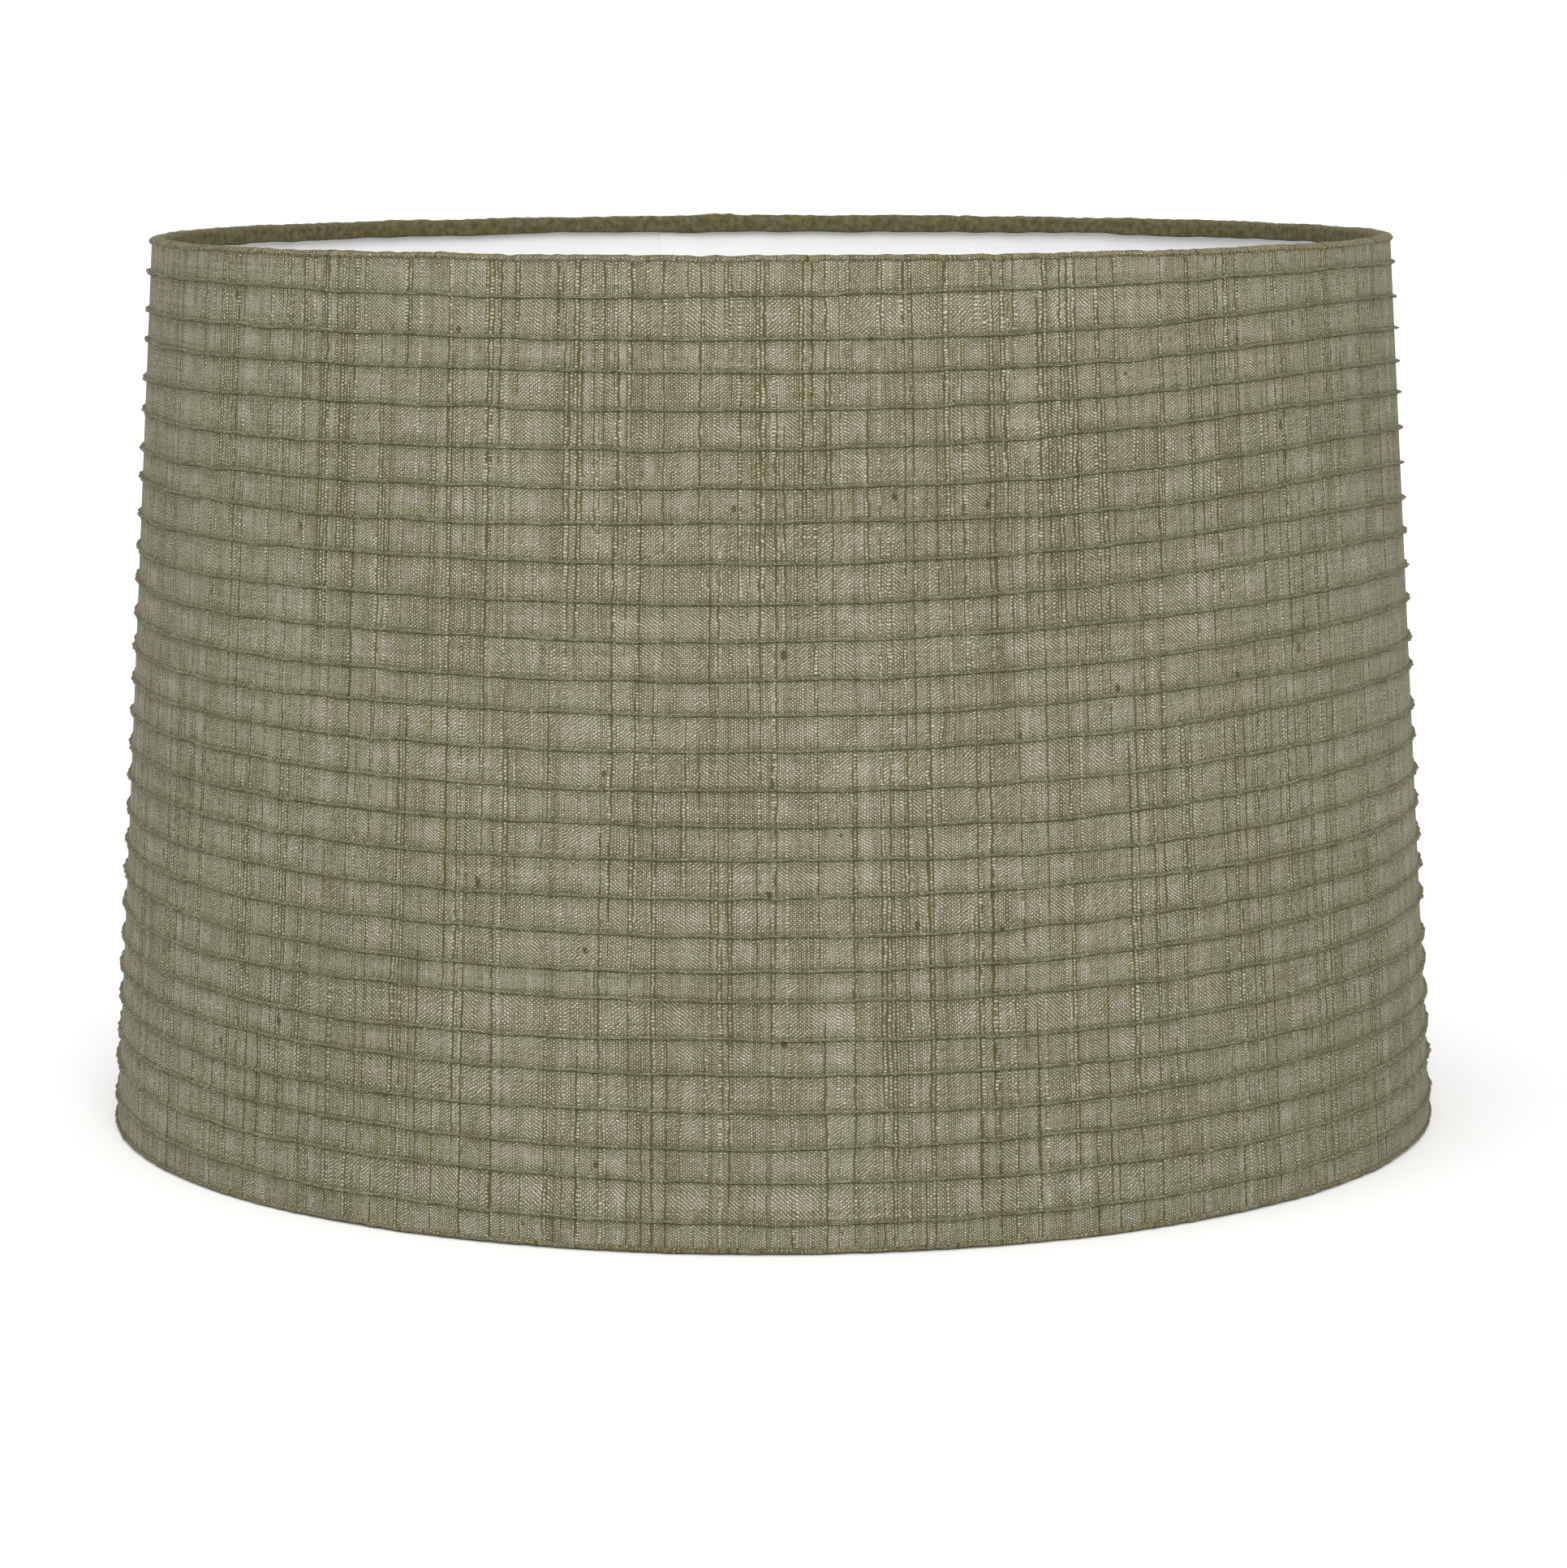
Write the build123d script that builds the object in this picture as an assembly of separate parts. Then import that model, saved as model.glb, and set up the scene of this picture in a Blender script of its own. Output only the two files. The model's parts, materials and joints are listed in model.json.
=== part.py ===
from build123d import *
import os
from math import degrees

# A tapered drum lamp shade: pin-tucked cloth bonded to a rigid liner, two wire hoops, and a
# gimbal fitter that turns over, so that the shade can stand on a lamp or hang from one.
# Millimetres, +Z up. The origin is the centre of the bottom rim, on the surface the rim stands on.
# Front is -Y, the back seam is at +Y, and the gimbal's pivots are at -X (left) and +X (right).
os.makedirs("parts", exist_ok=True)

# ---- driving dimensions --------------------------------------------------------------------
TOP_RADIUS = 175.0
BOTTOM_RADIUS = 190.0
HEIGHT = 252.0

COVER_THICKNESS = 0.6
LINER_THICKNESS = 0.5
HOOP_WIRE = 3.0
TRIM_THICKNESS = 0.7
TRIM_DEPTH_OUTSIDE = 2.3
TRIM_DEPTH_INSIDE = 5.0
TRIM_CORNER = 0.8
TRIM_SNIP_PLAY = 0.5
GLUE_GAP = 0.05
HOOP_GAP = 0.1
WALL_SETBACK = 1.0

SEAM_ANGLE = 98.0
LINER_LAP = 12.0
LINER_LAP_STEP = 0.8
LAP_END_GAP = 0.4
SEAM_TAPE_THICKNESS = 0.1
SEAM_TAPE_GAP = 0.02
SEAM_TAPE_START = 0.5
SEAM_TAPE_LENGTH = 10.0

PIVOT_BELOW_TOP = 14.0
PIVOT_SHANK_RADIUS = 2.0
PIVOT_RUNNING_FIT = 0.05
PIVOT_HEAD_RADIUS = 3.2
PIVOT_HEAD_HEIGHT = 1.1
PIVOT_HEAD_ROUNDING = 0.7
PIVOT_PEENED_RADIUS = 2.8
PIVOT_PEENED_HEIGHT = 0.9
PIVOT_SIDE_PLAY = 0.3
TAB_WIDTH = 9.0
TAB_THICKNESS = 1.2
TAB_INSET = 0.5
TAB_WELD_DEPTH = 0.6

ARM_WIRE = 3.0
ARM_EYE_RADIUS = 4.5
ARM_EYE_THICKNESS = 1.6
ARM_EYE_RADIAL = 167.8
ARM_STRAIGHT_DROP = 9.0
ARM_BEND_RADIUS = 7.0
ARM_EYE_WELD_DEPTH = 0.7
GIMBAL_DROP = 32.0

FITTER_HOLE_RADIUS = 21.05
FITTER_OUTER_RADIUS = 28.5
FITTER_THICKNESS = 1.6
FITTER_ROUNDING = 0.5
FITTER_WELD_DEPTH = 1.0

REDUCER_HOLE_RADIUS = 14.5
REDUCER_FLANGE_RADIUS = 24.5
REDUCER_FLANGE_THICKNESS = 1.8
REDUCER_SKIRT_DEPTH = 3.6
REDUCER_SKIRT_WALL = 1.8
REDUCER_SKIRT_PLAY = 0.3
REDUCER_COLLAR_DEPTH = 2.2
REDUCER_SLOTS = 4
REDUCER_SLOT_WIDTH = 3.0
REDUCER_SLOT_DEPTH = 3.2
REDUCER_FIRST_SLOT = 45.0

# ---- sizes worked out from them ------------------------------------------------------------
# Offsets are horizontal distances from the cloth's outer face between the tucks, outwards positive.
LINER_OUTER_OFFSET = -COVER_THICKNESS - GLUE_GAP
LINER_INNER_OFFSET = LINER_OUTER_OFFSET - LINER_THICKNESS
HOOP_OUTER_OFFSET = LINER_INNER_OFFSET - HOOP_GAP
HOOP_INNER_OFFSET = HOOP_OUTER_OFFSET - HOOP_WIRE
TRIM_OUTER_OFFSET = GLUE_GAP + TRIM_THICKNESS
TRIM_CAVITY_OFFSET = HOOP_INNER_OFFSET - GLUE_GAP
TRIM_INNER_OFFSET = TRIM_CAVITY_OFFSET - TRIM_THICKNESS

HOOP_DEPTH = TRIM_THICKNESS + GLUE_GAP + HOOP_WIRE / 2
WALL_EDGE_DEPTH = TRIM_THICKNESS + WALL_SETBACK
LAP_EDGE_DEPTH = TRIM_DEPTH_INSIDE + LAP_END_GAP

PIVOT_Z = HEIGHT - PIVOT_BELOW_TOP
FITTER_Z = PIVOT_Z - GIMBAL_DROP
EYE_INNER_X = ARM_EYE_RADIAL - ARM_EYE_THICKNESS / 2
EYE_OUTER_X = ARM_EYE_RADIAL + ARM_EYE_THICKNESS / 2


def outer_radius(z):
    """The radius of the cloth's outer face between the tucks, at height z."""
    return BOTTOM_RADIUS + (TOP_RADIUS - BOTTOM_RADIUS) * z / HEIGHT


def wall_point(offset, z):
    """A point of the wall's cross-section: its radius and its height."""
    return (outer_radius(z) + offset, z)


TOP_HOOP_Z = HEIGHT - HOOP_DEPTH
BOTTOM_HOOP_Z = HOOP_DEPTH
TOP_HOOP_RADIUS = outer_radius(TOP_HOOP_Z) + HOOP_OUTER_OFFSET - HOOP_WIRE / 2
BOTTOM_HOOP_RADIUS = outer_radius(BOTTOM_HOOP_Z) + HOOP_OUTER_OFFSET - HOOP_WIRE / 2
TAB_CENTRE_X = TOP_HOOP_RADIUS - TAB_INSET
TAB_INNER_X = TAB_CENTRE_X - TAB_THICKNESS / 2
TAB_OUTER_X = TAB_CENTRE_X + TAB_THICKNESS / 2


def spin(section, arc=360.0):
    """Turn a cross-section, drawn as radius and height, about the shade's axis."""
    return revolve(Plane.XZ * section, axis=Axis.Z, revolution_arc=arc)


def wall_strip(offset_a, offset_b, low_z, high_z):
    """The cross-section of a layer of the sloping wall."""
    corners = [
        wall_point(offset_a, low_z),
        wall_point(offset_b, low_z),
        wall_point(offset_b, high_z),
        wall_point(offset_a, high_z),
    ]
    return make_face(Polyline(*corners, close=True))


def seam_strip(inner_offset, outer_offset, start, length):
    """A strip of wall at the back seam: start and length run round the shade, in millimetres."""
    degrees_per_mm = degrees(1 / TOP_RADIUS)
    section = wall_strip(inner_offset, outer_offset, LAP_EDGE_DEPTH, HEIGHT - LAP_EDGE_DEPTH)
    return Rot(0, 0, SEAM_ANGLE + start * degrees_per_mm) * spin(section, length * degrees_per_mm)


def cover():
    """The cloth, bonded all over to the liner: a plain conical shell as deep as the cloth between tucks."""
    return spin(wall_strip(-COVER_THICKNESS, 0.0, WALL_EDGE_DEPTH, HEIGHT - WALL_EDGE_DEPTH))


def liner():
    """The laminate: a conical shell whose free edge laps over the inside at the back."""
    shell = spin(
        wall_strip(LINER_INNER_OFFSET, LINER_OUTER_OFFSET, WALL_EDGE_DEPTH, HEIGHT - WALL_EDGE_DEPTH)
    )
    lap_outer = LINER_INNER_OFFSET - SEAM_TAPE_THICKNESS - 2 * SEAM_TAPE_GAP
    lap_inner = lap_outer - LINER_THICKNESS
    lap = seam_strip(lap_inner, lap_outer, 0.0, LINER_LAP)
    step_outer = LINER_INNER_OFFSET + GLUE_GAP
    step = seam_strip(lap_inner, step_outer, LINER_LAP - LINER_LAP_STEP, LINER_LAP_STEP)
    return shell + lap + step


def seam_tape():
    """The double-sided tape between the liner and its lap."""
    outer = LINER_INNER_OFFSET - SEAM_TAPE_GAP
    return seam_strip(outer - SEAM_TAPE_THICKNESS, outer, SEAM_TAPE_START, SEAM_TAPE_LENGTH)


def hoop(radius, z):
    """A wire hoop that keeps a rim round."""
    return Pos(0, 0, z) * Torus(radius, HOOP_WIRE / 2)


def trim(edge_z, inwards):
    """The strip of cloth folded over a rim and tucked round its hoop.

    edge_z is the rim's height, and inwards is +1 where the shade is above it, -1 where it is below.
    """
    floor = TRIM_DEPTH_INSIDE - TRIM_THICKNESS
    corners = [
        (TRIM_OUTER_OFFSET, TRIM_DEPTH_OUTSIDE),
        (TRIM_OUTER_OFFSET, TRIM_CORNER),
        (TRIM_OUTER_OFFSET - TRIM_CORNER, 0.0),
        (TRIM_INNER_OFFSET + TRIM_CORNER, 0.0),
        (TRIM_INNER_OFFSET, TRIM_CORNER),
        (TRIM_INNER_OFFSET, TRIM_DEPTH_INSIDE - TRIM_CORNER),
        (TRIM_INNER_OFFSET + TRIM_CORNER, TRIM_DEPTH_INSIDE),
        (HOOP_OUTER_OFFSET, TRIM_DEPTH_INSIDE),
        (HOOP_OUTER_OFFSET, floor),
        (TRIM_CAVITY_OFFSET, floor),
        (TRIM_CAVITY_OFFSET, TRIM_THICKNESS),
        (GLUE_GAP, TRIM_THICKNESS),
        (GLUE_GAP, TRIM_DEPTH_OUTSIDE),
    ]
    points = [wall_point(offset, edge_z + inwards * depth) for offset, depth in corners]
    return spin(make_face(Polyline(*points, close=True)))


def top_trim():
    """The top rim's fold, snipped where the two pivot tabs come down through it."""
    snip_width = TAB_WIDTH + 2 * TRIM_SNIP_PLAY
    snip = Box(TAB_THICKNESS + 2 * TRIM_SNIP_PLAY, snip_width, 3 * TRIM_THICKNESS)
    snip_z = HEIGHT - TRIM_DEPTH_INSIDE
    folded = trim(HEIGHT, -1)
    for side in (-1, 1):
        folded -= Pos(side * TAB_CENTRE_X, 0, snip_z) * snip
    return folded


def pivot_tab(side):
    """The steel tab welded under the top hoop, with the hole that holds the rivet."""
    top_z = TOP_HOOP_Z - HOOP_WIRE / 2 + TAB_WELD_DEPTH
    face = Pos(0, PIVOT_Z) * Circle(TAB_WIDTH / 2)
    face += Pos(0, (PIVOT_Z + top_z) / 2) * Rectangle(TAB_WIDTH, top_z - PIVOT_Z)
    face -= Pos(0, PIVOT_Z) * Circle(PIVOT_SHANK_RADIUS)
    plate = extrude(Plane.YZ * face, TAB_THICKNESS)
    return Pos(side * TAB_CENTRE_X - TAB_THICKNESS / 2, 0, 0) * plate


def along_pivot(side, inner_x, outer_x, radius):
    """A disc on the pivot's axis, from inner_x to outer_x."""
    disc = Rot(0, 90, 0) * Cylinder(radius, outer_x - inner_x)
    return Pos(side * (inner_x + outer_x) / 2, 0, PIVOT_Z) * disc


def pivot_rivet(side):
    """The rivet that an arm turns on: a head inside, and a smaller peened end outside."""
    head_x = EYE_INNER_X - PIVOT_SIDE_PLAY
    peened_end_x = TAB_OUTER_X + PIVOT_PEENED_HEIGHT
    rivet = along_pivot(side, head_x - PIVOT_HEAD_HEIGHT, peened_end_x, PIVOT_SHANK_RADIUS)
    head = along_pivot(side, head_x - PIVOT_HEAD_HEIGHT, head_x, PIVOT_HEAD_RADIUS)
    rim = head.edges().filter_by(GeomType.CIRCLE).sort_by(lambda edge: abs(edge.center().X))
    head = fillet(rim[0], PIVOT_HEAD_ROUNDING)
    peened = along_pivot(side, TAB_OUTER_X, peened_end_x, PIVOT_PEENED_RADIUS)
    return rivet + head + peened


def spacer_washer(side):
    """The washer that keeps an arm's eye off the tab and clear of the trim."""
    inner_x = EYE_OUTER_X + PIVOT_SIDE_PLAY
    outer_x = TAB_INNER_X - GLUE_GAP
    ring = along_pivot(side, inner_x, outer_x, PIVOT_HEAD_RADIUS)
    return ring - along_pivot(side, inner_x, outer_x, PIVOT_SHANK_RADIUS + PIVOT_RUNNING_FIT)


def gimbal_arm(side):
    """A wire arm: a flattened eye on the rivet, a drop, a slope inwards, and a level run."""
    wire_top_z = PIVOT_Z - ARM_EYE_RADIUS + ARM_EYE_WELD_DEPTH
    level_x = ARM_EYE_RADIAL - (GIMBAL_DROP - ARM_STRAIGHT_DROP)
    route = [
        (side * ARM_EYE_RADIAL, 0, wire_top_z),
        (side * ARM_EYE_RADIAL, 0, PIVOT_Z - ARM_STRAIGHT_DROP),
        (side * level_x, 0, FITTER_Z),
        (side * (FITTER_OUTER_RADIUS - FITTER_WELD_DEPTH), 0, FITTER_Z),
    ]
    path = FilletPolyline(*route, radius=ARM_BEND_RADIUS)
    wire = sweep(Plane(origin=path @ 0, z_dir=path % 0) * Circle(ARM_WIRE / 2), path=path)
    eye = along_pivot(side, EYE_INNER_X, EYE_OUTER_X, ARM_EYE_RADIUS)
    hole = along_pivot(side, EYE_INNER_X, EYE_OUTER_X, PIVOT_SHANK_RADIUS + PIVOT_RUNNING_FIT)
    return wire + eye - hole


def fitter_ring():
    """The pressed steel ring that rests on a lampholder."""
    ring = Cylinder(FITTER_OUTER_RADIUS, FITTER_THICKNESS)
    ring = fillet(ring.edges().filter_by(GeomType.CIRCLE), FITTER_ROUNDING)
    ring -= Cylinder(FITTER_HOLE_RADIUS, FITTER_THICKNESS)
    return Pos(0, 0, FITTER_Z) * ring


def reducer_ring():
    """The loose adaptor: a flange on the fitter ring, a slotted skirt in it, and a collared hole."""
    seat_z = FITTER_Z + FITTER_THICKNESS / 2 + GLUE_GAP
    skirt_radius = FITTER_HOLE_RADIUS - REDUCER_SKIRT_PLAY
    corners = [
        (REDUCER_HOLE_RADIUS, -REDUCER_COLLAR_DEPTH),
        (REDUCER_HOLE_RADIUS + REDUCER_SKIRT_WALL, -REDUCER_COLLAR_DEPTH),
        (REDUCER_HOLE_RADIUS + REDUCER_SKIRT_WALL, 0.0),
        (skirt_radius - REDUCER_SKIRT_WALL, 0.0),
        (skirt_radius - REDUCER_SKIRT_WALL, -REDUCER_SKIRT_DEPTH),
        (skirt_radius, -REDUCER_SKIRT_DEPTH),
        (skirt_radius, 0.0),
        (REDUCER_FLANGE_RADIUS, 0.0),
        (REDUCER_FLANGE_RADIUS, REDUCER_FLANGE_THICKNESS),
        (REDUCER_HOLE_RADIUS, REDUCER_FLANGE_THICKNESS),
    ]
    ring = spin(make_face(Polyline(*corners, close=True)))
    slot_reach = skirt_radius - REDUCER_SKIRT_WALL / 2
    slot_top_z = REDUCER_SLOT_DEPTH - REDUCER_SKIRT_DEPTH
    slot = Box(3 * REDUCER_SKIRT_WALL, REDUCER_SLOT_WIDTH, REDUCER_SKIRT_DEPTH)
    slot = Pos(slot_reach, 0, slot_top_z - REDUCER_SKIRT_DEPTH / 2) * slot
    for index in range(REDUCER_SLOTS):
        ring -= Rot(0, 0, REDUCER_FIRST_SLOT + index * 360 / REDUCER_SLOTS) * slot
    return Pos(0, 0, seat_z) * ring


def sub_parts():
    """Every sub-part by its node's name."""
    parts = {
        "cover": cover(),
        "liner": liner(),
        "seam_tape": seam_tape(),
        "top_ring": hoop(TOP_HOOP_RADIUS, TOP_HOOP_Z),
        "bottom_ring": hoop(BOTTOM_HOOP_RADIUS, BOTTOM_HOOP_Z),
        "top_trim": top_trim(),
        "bottom_trim": trim(0.0, 1),
        "fitter_ring": fitter_ring(),
        "reducer_ring": reducer_ring(),
    }
    for side, name in ((-1, "left"), (1, "right")):
        parts[f"pivot_tab_{name}"] = pivot_tab(side)
        parts[f"pivot_rivet_{name}"] = pivot_rivet(side)
        parts[f"spacer_washer_{name}"] = spacer_washer(side)
        parts[f"gimbal_arm_{name}"] = gimbal_arm(side)
    return parts


for node, shape in sub_parts().items():
    export_step(shape, f"parts/{node}.step")
    print(node, "written")
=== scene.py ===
import json
import math

import bpy
import numpy as np
from mathutils import Matrix, Vector


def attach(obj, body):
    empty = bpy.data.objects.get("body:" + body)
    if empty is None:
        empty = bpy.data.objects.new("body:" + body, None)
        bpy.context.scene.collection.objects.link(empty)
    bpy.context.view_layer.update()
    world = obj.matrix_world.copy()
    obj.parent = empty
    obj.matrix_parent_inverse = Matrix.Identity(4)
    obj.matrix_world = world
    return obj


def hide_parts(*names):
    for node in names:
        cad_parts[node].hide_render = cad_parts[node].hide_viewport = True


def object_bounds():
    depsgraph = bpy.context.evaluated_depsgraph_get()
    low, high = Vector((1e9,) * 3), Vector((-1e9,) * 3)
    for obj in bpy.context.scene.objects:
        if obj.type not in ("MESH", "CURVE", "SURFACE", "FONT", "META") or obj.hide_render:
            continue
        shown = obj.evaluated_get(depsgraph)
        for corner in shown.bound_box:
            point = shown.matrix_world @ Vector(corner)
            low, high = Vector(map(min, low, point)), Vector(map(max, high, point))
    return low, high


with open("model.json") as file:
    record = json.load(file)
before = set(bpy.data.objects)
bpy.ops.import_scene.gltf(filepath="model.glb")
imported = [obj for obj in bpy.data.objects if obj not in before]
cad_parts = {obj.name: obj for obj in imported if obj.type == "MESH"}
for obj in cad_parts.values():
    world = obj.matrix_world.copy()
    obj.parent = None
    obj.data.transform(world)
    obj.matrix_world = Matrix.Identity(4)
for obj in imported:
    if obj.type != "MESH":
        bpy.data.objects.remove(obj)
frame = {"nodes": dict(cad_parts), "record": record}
CAD_BOX = [list(corner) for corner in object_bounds()]

# A tapered drum lamp shade in pin-tucked slub silk. Metres, +Z up, front at -Y, the seam at the back.
MM = 0.001

# ---- the wall ------------------------------------------------------------------------------
HEIGHT = CAD_BOX[1][2]
TOP_RADIUS = 0.175
BOTTOM_RADIUS = 0.190
MEAN_RADIUS = (TOP_RADIUS + BOTTOM_RADIUS) / 2
TAPER = math.atan2(BOTTOM_RADIUS - TOP_RADIUS, HEIGHT)
SLOPE_LENGTH = HEIGHT / math.cos(TAPER)

# ---- the pin tucks -------------------------------------------------------------------------
TUCK_COUNT = 26
FIRST_TUCK = 0.038 * SLOPE_LENGTH
LAST_TUCK = 0.959 * SLOPE_LENGTH
TUCK_BOW = 2.2 * MM
TUCK_UNEVENNESS = 0.36 * MM

# The rows are pulled up most at one place on the wall. The reaches say how quickly that fades.
PULL_UP = 6.2 * MM
PULL_ANGLE = math.radians(-30)
PULL_REACH_ROUND = math.radians(30)
PULL_HEIGHT = 0.188
PULL_REACH_UP = 0.080

# ---- the cover's edges and its back seam ---------------------------------------------------
COVER_EDGE_DEPTH = 1.0 * MM
COVER_COLUMNS = 460
COVER_SEAM_ANGLE = math.radians(101.9)
SEAM_UNDERLAP = 2.0 * MM
SEAM_UNDERLAP_SINK = 0.12 * MM
SEAM_LIFT = 0.75 * MM
SEAM_LIFT_LENGTH = 12 * MM
SEAM_LIFT_END = 1.6 * SEAM_LIFT_LENGTH
# The turned-in hem: millimetres back from the seam's edge, and the share of the seam's lift there.
SEAM_HEM = [(1.2, 1.0), (0.5, 1.05), (0.15, 0.9), (0.0, 0.5), (0.12, 0.05)]

# ---- the trims -----------------------------------------------------------------------------
TRIM_STAND = 0.77 * MM
TRIM_CENTRE = -2.1 * MM
TRIM_HALF_WIDTH = TRIM_STAND - TRIM_CENTRE
TRIM_RISE = 1.3 * MM
TRIM_DEPTH_OUTSIDE = 1.45 * MM
TRIM_DEPTH_INSIDE = 5.0 * MM
TRIM_COLUMNS = 720
TRIM_ARC_STEPS = 12
TRIM_LUMP_SPREAD = 0.6
TRIM_LAP_X = -0.018
TRIM_LAP_FLAT = 1 * MM
TRIM_LAP_REACH = 11 * MM
TRIM_LAP_LIFT = 0.65 * MM
TRIM_LAP_SPREAD = 0.3 * MM

# ---- random lines round the shade ----------------------------------------------------------
# Each has its rms, its fewest and most waves a turn, and how fast the shorter waves fade.
TUCK_SWAG = (0.42 * MM, 1, 6, 0.5)
TUCK_WANDER = (0.12 * MM, 12, 70, 0.5)
TUCK_STAND_SPREAD = (0.17, 12, 150, 0.15)
TUCK_LEAN = (0.10 * MM, 20, 150, 0.1)
TRIM_LUMPS = (0.09 * MM, 3, 40, 0.3)
TRIM_FINE_LUMPS = (0.08 * MM, 60, 300, 0.0)
TRIM_OUTER_HEM = (0.15 * MM, 6, 200, 0.2)
TRIM_INNER_HEM = (0.22 * MM, 4, 90, 0.4)

rng = np.random.default_rng(26)


# ============================================================================================
# Mesh building
# ============================================================================================
def wall(angle, along, out):
    """Points of the sloping wall, from the distance up its slope and the distance off the cloth's face."""
    radius = BOTTOM_RADIUS - along * math.sin(TAPER) + out * math.cos(TAPER)
    height = along * math.cos(TAPER) + out * math.sin(TAPER)
    return np.stack([radius * np.cos(angle), radius * np.sin(angle), height], axis=-1)


def ripple(angle, rms, fewest, most, softness):
    """A smooth random line that meets itself after a turn, made of fewest to most waves a turn."""
    waves = np.arange(fewest, most + 1)
    strengths = rng.normal(size=len(waves)) * waves ** -softness
    phases = rng.uniform(0, 2 * math.pi, len(waves))
    line = strengths @ np.cos(np.outer(waves, angle) + phases[:, None])
    return rms * line / math.sqrt(0.5 * (strengths**2).sum())


def smooth_step(value, low, high):
    """0 below low, 1 above high, and a smooth rise between them."""
    share = np.clip((value - low) / (high - low), 0.0, 1.0)
    return share * share * (3 - 2 * share)


def lengths_along(section):
    """The running length along a cross-section's points, in millimetres."""
    steps = np.hypot(*np.diff(np.array(section), axis=0).T)
    return np.concatenate([[0.0], np.cumsum(steps)]) / MM


def grid_piece(name, points, round_mm, across_mm, closed=False, **marks):
    """A smooth mesh over a grid of points, rows first. round_mm and across_mm are the columns' and the
    rows' places on the flat cloth, with one column more than points has where the grid closes on itself.
    A mark has one value for each row."""
    rows, columns = points.shape[:2]
    cloth = np.stack(np.broadcast_arrays(round_mm[None, :], across_mm[:, None]), axis=-1)
    index = np.arange(rows * columns).reshape(rows, columns)
    left = np.arange(columns if closed else columns - 1)
    right = (left + 1) % columns
    low, high = index[:-1], index[1:]
    quads = np.stack([low[:, left], low[:, right], high[:, right], high[:, left]], axis=-1)
    flat_low, flat_high = cloth[:-1], cloth[1:]
    corners = np.stack(
        [flat_low[:, left], flat_low[:, left + 1], flat_high[:, left + 1], flat_high[:, left]], axis=-2
    )
    mesh = bpy.data.meshes.new(name)
    mesh.from_pydata(points.reshape(-1, 3).tolist(), [], quads.reshape(-1, 4).tolist())
    mesh.uv_layers.new(name="Cloth").data.foreach_set("uv", corners.reshape(-1))
    for mark, values in marks.items():
        layer = mesh.attributes.new(mark, "FLOAT", "POINT")
        layer.data.foreach_set("value", np.repeat(values, columns))
    mesh.polygons.foreach_set("use_smooth", np.ones(len(mesh.polygons), dtype=bool))
    mesh.update()
    piece = bpy.data.objects.new(name, mesh)
    bpy.context.scene.collection.objects.link(piece)
    return piece


# ============================================================================================
# The cover: one panel of silk, pin-tucked, wrapped round and lapped at the back
# ============================================================================================
# One tuck's section, in millimetres: up the slope, off the wall, and how folded the cloth is there.
TUCK_SECTION = [
    (-1.20, 0.00, 0.0),
    (-0.47, -0.05, 0.0),
    (-0.46, 0.48, 0.8),
    (-0.27, 0.98, 1.0),
    (0.04, 1.08, 1.0),
    (0.27, 0.70, 0.9),
    (0.46, 0.02, 0.0),
    (1.05, 0.00, 0.0),
]
LOWER_LINE_ROW = 1
UPPER_LINE_ROW = 6
FAR_FROM_LINE = 3.0


def cover_columns():
    """The angles of the panel's columns, and how far each stands off the wall at the back seam."""
    edge = COVER_SEAM_ANGLE + 2 * math.pi
    hem_angle = [edge - back * MM / MEAN_RADIUS for back, _ in SEAM_HEM]
    hem_lift = [SEAM_LIFT * share for _, share in SEAM_HEM]
    angle = np.linspace(COVER_SEAM_ANGLE - SEAM_UNDERLAP / MEAN_RADIUS, hem_angle[0], COVER_COLUMNS)
    before_edge = (edge - angle) * MEAN_RADIUS
    lift = SEAM_LIFT * (1 - smooth_step(before_edge, SEAM_LIFT_LENGTH, SEAM_LIFT_END))
    lift -= SEAM_UNDERLAP_SINK * (before_edge > 2 * math.pi * MEAN_RADIUS)
    return np.append(angle, hem_angle[1:]), np.append(lift, hem_lift[1:])


def pull(angle, along):
    """How far the rows of tucks are pulled up, most of all round to the right of the front."""
    round_share = np.exp(-(((angle - PULL_ANGLE) / PULL_REACH_ROUND) ** 2))
    return PULL_UP * round_share * math.exp(-(((along - PULL_HEIGHT) / PULL_REACH_UP) ** 2))


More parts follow.
